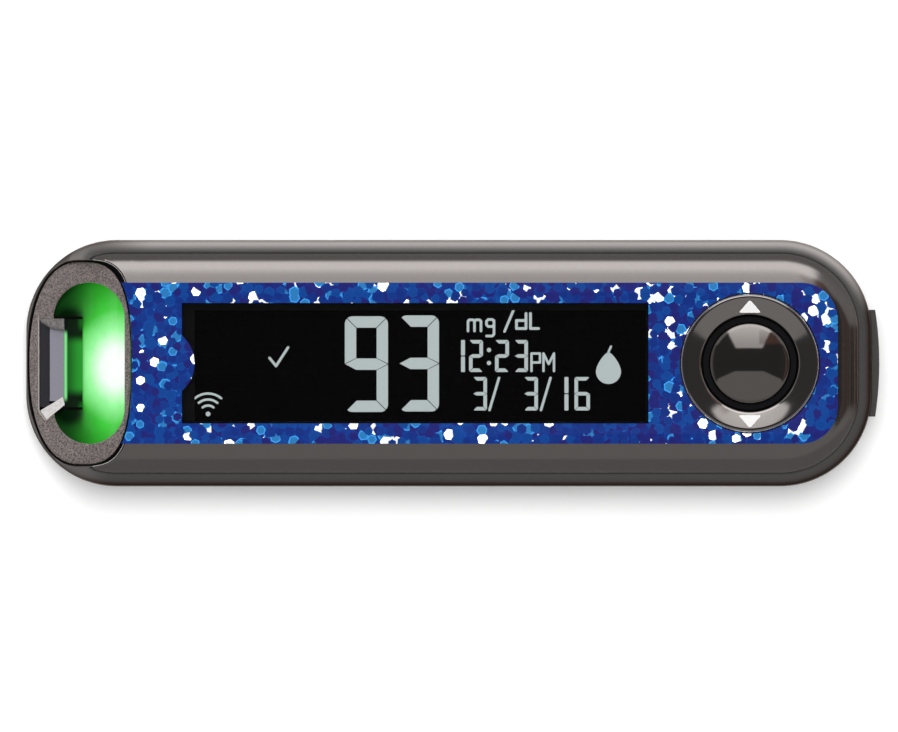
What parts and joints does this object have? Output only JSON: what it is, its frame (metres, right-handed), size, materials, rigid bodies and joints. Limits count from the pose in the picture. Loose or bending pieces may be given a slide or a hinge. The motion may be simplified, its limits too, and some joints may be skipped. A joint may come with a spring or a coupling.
{
  "type": "blood glucose meter",
  "caption": "Handheld blood glucose meter with a lit strip port in its slanted end, a wide display, a rocker ring round a centre button, and a sliding battery door.",
  "frame": {"origin": "under the middle of the meter, on the flat underside that it lies on", "axes": "+X along the meter towards the buttons and the battery door's thumb tab, +Z out of the display, +Y across the meter towards the top of the digits"},
  "size_m": [0.097, 0.028, 0.0148],
  "materials": {
    "case_gunmetal": "metallic paint under clear coat, gloss",
    "ring_gunmetal": "metallic paint under clear coat, high gloss",
    "button_dark": "high gloss",
    "bezel_textured": "fine spark texture, satin",
    "pipe_green": "frosted, lit from behind",
    "window_black": "clear lens with a black mask",
    "skin_glitter": "glitter under a clear film",
    "lcd_black": "negative display glass",
    "white_plastic": "moulded, satin",
    "mark_white": "printed",
    "rubber_grey": "striped conductive rubber",
    "black_plastic": "moulded, satin",
    "connector_grey": "moulded, satin",
    "spring_steel": "stamped sheet",
    "contact_gold": "gold flash on spring sheet",
    "cell_steel": "pressed can, fine brushing",
    "board_green": "solder mask",
    "chip_black": "moulded resin",
    "ceramic_tan": "fired body with plated ends",
    "ceramic_white": "fired body",
    "lamp_white": "lamp body",
    "label_grey": "bare printed film, satin",
    "screw_steel": "zinc plated"
  },
  "bodies": {
    "root": {"front_cover": "case_gunmetal", "rear_cover": "case_gunmetal", "case_screws": "screw_steel", "rear_label": "label_grey", "port_bezel": "bezel_textured", "light_pipe": "pipe_green", "port_led": "lamp_white", "strip_connector": "connector_grey", "strip_contacts": "contact_gold", "display_window": "window_black", "decal_skin": "skin_glitter", "lcd_frame": "white_plastic", "lcd_panel": "lcd_black", "lcd_backlight": "white_plastic", "zebra_connectors": "rubber_grey", "button_carrier": "black_plastic", "dome_switches": "spring_steel", "circuit_board": "board_green", "battery_tray": "black_plastic", "battery_1": "cell_steel", "battery_2": "cell_steel", "battery_contacts_positive": "contact_gold", "battery_contacts_negative": "contact_gold", "microcontroller": "chip_black", "measuring_chip": "chip_black", "radio_shield": "spring_steel", "antenna": "ceramic_white", "buzzer": "black_plastic", "clock_crystal": "spring_steel", "capacitors": "ceramic_tan"},
    "scroll_ring": {"scroll_ring": "ring_gunmetal", "arrow_marks": "mark_white"},
    "ok_button": {"ok_button": "button_dark"},
    "battery_door": {"battery_door": "case_gunmetal"}
  },
  "joints": [
    {"name": "ok_press", "type": "slide", "parent": "root", "child": "ok_button", "axis": [0, 0, -1], "range_m": [0, 0.0004], "stiffness_N_per_m": 2000, "springref_m": -0.0001},
    {"name": "scroll_rock", "type": "hinge", "parent": "root", "child": "scroll_ring", "pos_m": [0.03372, 0, 0.01215], "axis": [1, 0, 0], "range_deg": [-2.5, 2.5], "stiffness_Nm_per_rad": 0.2},
    {"name": "battery_door_slide", "type": "slide", "parent": "root", "child": "battery_door", "axis": [1, 0, 0], "range_m": [0, 0.047]}
  ]
}
